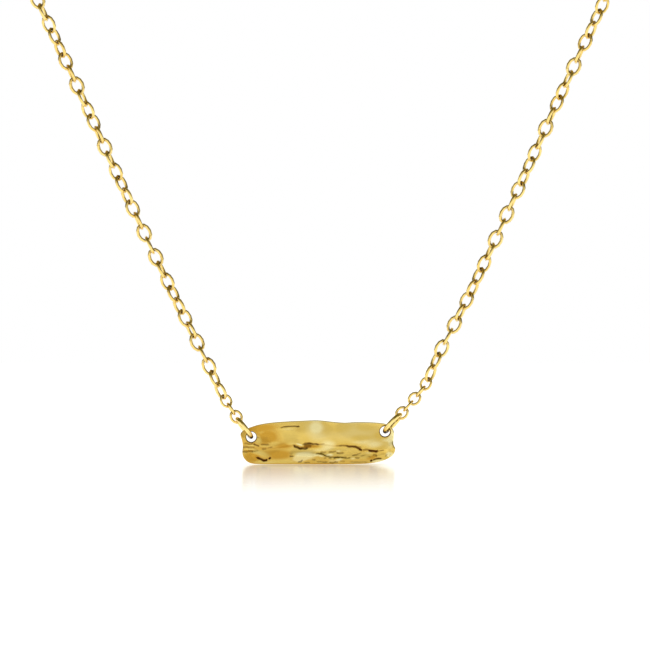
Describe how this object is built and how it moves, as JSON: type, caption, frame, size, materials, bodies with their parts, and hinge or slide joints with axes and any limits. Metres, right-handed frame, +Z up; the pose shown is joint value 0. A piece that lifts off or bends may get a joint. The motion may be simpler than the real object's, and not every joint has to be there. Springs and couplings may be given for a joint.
{
  "type": "bar pendant necklace",
  "caption": "Folded and creased gold bar held at both ends by jump rings on a fine link chain that goes round the neck and closes with a spring ring at the nape.",
  "frame": {"origin": "middle of the neck opening, level with the stretch of chain that lies round the neck, midway between the bar's plane and the nape", "axes": "+Z up along the neck, +Y towards the nape, +X towards the right end of the bar as seen from the front, which looks to -Y"},
  "size_m": [0.1058, 0.0913, 0.0972],
  "materials": {
    "bar_gold": "polished gold with a faint grain and dark creases",
    "ring_gold": "polished gold wire",
    "chain_gold": "polished gold links",
    "clasp_gold": "polished gold tube"
  },
  "bodies": {
    "necklace": {"jump_ring_left": "ring_gold", "jump_ring_right": "ring_gold", "chain_left": "chain_gold", "chain_right": "chain_gold", "end_ring_left": "ring_gold", "clasp": "clasp_gold", "end_ring_right": "ring_gold"},
    "bar": {"bar": "bar_gold"}
  },
  "joints": [
    {"name": "bar_swing", "type": "hinge", "parent": "necklace", "child": "bar", "pos_m": [0.00007, -0.044, -0.08883], "axis": [0.9995, 0, 0.0321], "range_deg": [-35, 15]}
  ]
}
